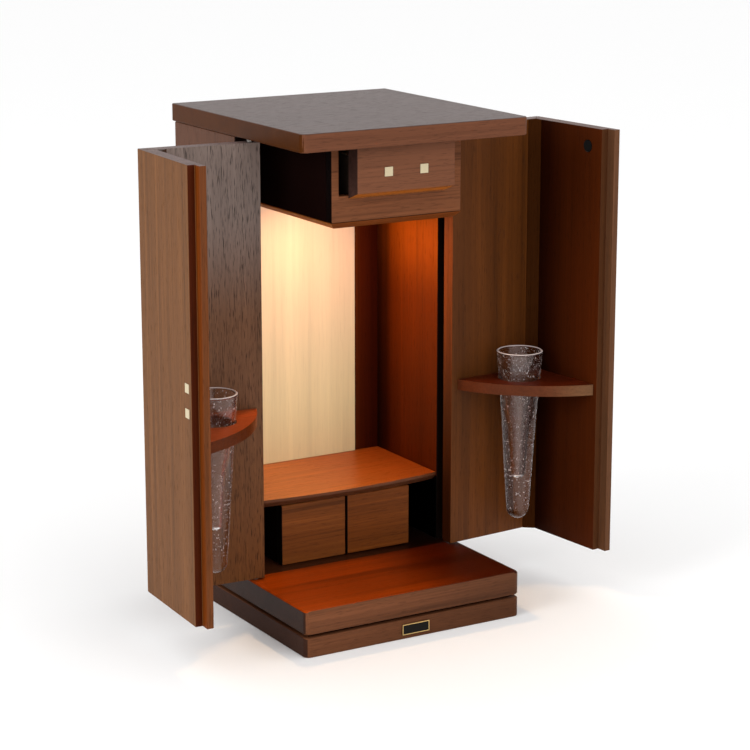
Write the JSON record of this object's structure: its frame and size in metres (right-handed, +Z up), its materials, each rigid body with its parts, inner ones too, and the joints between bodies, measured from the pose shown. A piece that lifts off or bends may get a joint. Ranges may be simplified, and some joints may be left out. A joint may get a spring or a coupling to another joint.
{
  "type": "household altar cabinet",
  "caption": "Compact walnut household altar cabinet with two wrap-round hinged doors standing open, glass vases on the door shelves and small drawers inside.",
  "frame": {"origin": "on the underside of the plinth, at its middle", "axes": "+Z up, -Y towards the open front, +X towards the right-hand door as seen from the front"},
  "size_m": [0.3228, 0.184, 0.345],
  "materials": {
    "walnut": "satin",
    "red_walnut": "gloss",
    "maple": "satin",
    "black_stain": "matte",
    "pale_inlay": "satin",
    "steel": "brushed",
    "rubber": "matte",
    "glass": "clear",
    "lamp_lens": "frosted",
    "plate": "satin"
  },
  "bodies": {
    "cabinet": {"base_plinth": "walnut", "base_spacer": "black_stain", "base_slab": "red_walnut", "front_plate": "plate", "side_wall_left": "walnut", "side_wall_right": "walnut", "back_board": "walnut", "back_panel": "maple", "top_board": "walnut", "inner_shelf": "red_walnut", "drawer_upright_left": "black_stain", "drawer_upright_middle": "black_stain", "drawer_upright_right": "black_stain", "upper_case_face": "walnut", "upper_case_side_left": "black_stain", "upper_case_side_right": "black_stain", "upper_case_floor": "black_stain", "upper_case_bottom": "walnut", "lamp": "lamp_lens"},
    "door_left": {"door_front_left": "walnut", "door_side_left": "walnut", "door_corner_strip_left": "walnut", "door_shelf_left": "red_walnut", "vase_left": "glass", "pivot_pin_lower_left": "steel", "pivot_pin_upper_left": "steel", "door_inlay_lower": "pale_inlay", "door_inlay_upper": "pale_inlay"},
    "door_right": {"door_front_right": "walnut", "door_side_right": "walnut", "door_corner_strip_right": "walnut", "door_shelf_right": "red_walnut", "vase_right": "glass", "pivot_pin_lower_right": "steel", "pivot_pin_upper_right": "steel", "door_catch": "rubber"},
    "upper_drawer": {"upper_drawer_front": "walnut", "upper_drawer_tray": "maple", "drawer_inlay_left": "pale_inlay", "drawer_inlay_right": "pale_inlay"},
    "lower_drawer_left": {"lower_drawer_front_left": "walnut", "lower_drawer_tray_left": "maple"},
    "lower_drawer_right": {"lower_drawer_front_right": "walnut", "lower_drawer_tray_right": "maple"}
  },
  "joints": [
    {"name": "door_left_hinge", "type": "hinge", "parent": "cabinet", "child": "door_left", "pos_m": [-0.07925, -0.0112, 0.182], "axis": [0, 0, 1], "range_deg": [-2, 93]},
    {"name": "door_right_hinge", "type": "hinge", "parent": "cabinet", "child": "door_right", "pos_m": [0.07925, -0.0112, 0.182], "axis": [0, 0, -1], "range_deg": [0, 95]},
    {"name": "upper_drawer_slide", "type": "slide", "parent": "cabinet", "child": "upper_drawer", "axis": [0, 1, 0], "range_m": [-0.06, 0]},
    {"name": "lower_drawer_left_slide", "type": "slide", "parent": "cabinet", "child": "lower_drawer_left", "axis": [0, 1, 0], "range_m": [-0.045, 0]},
    {"name": "lower_drawer_right_slide", "type": "slide", "parent": "cabinet", "child": "lower_drawer_right", "axis": [0, 1, 0], "range_m": [-0.045, 0]}
  ]
}
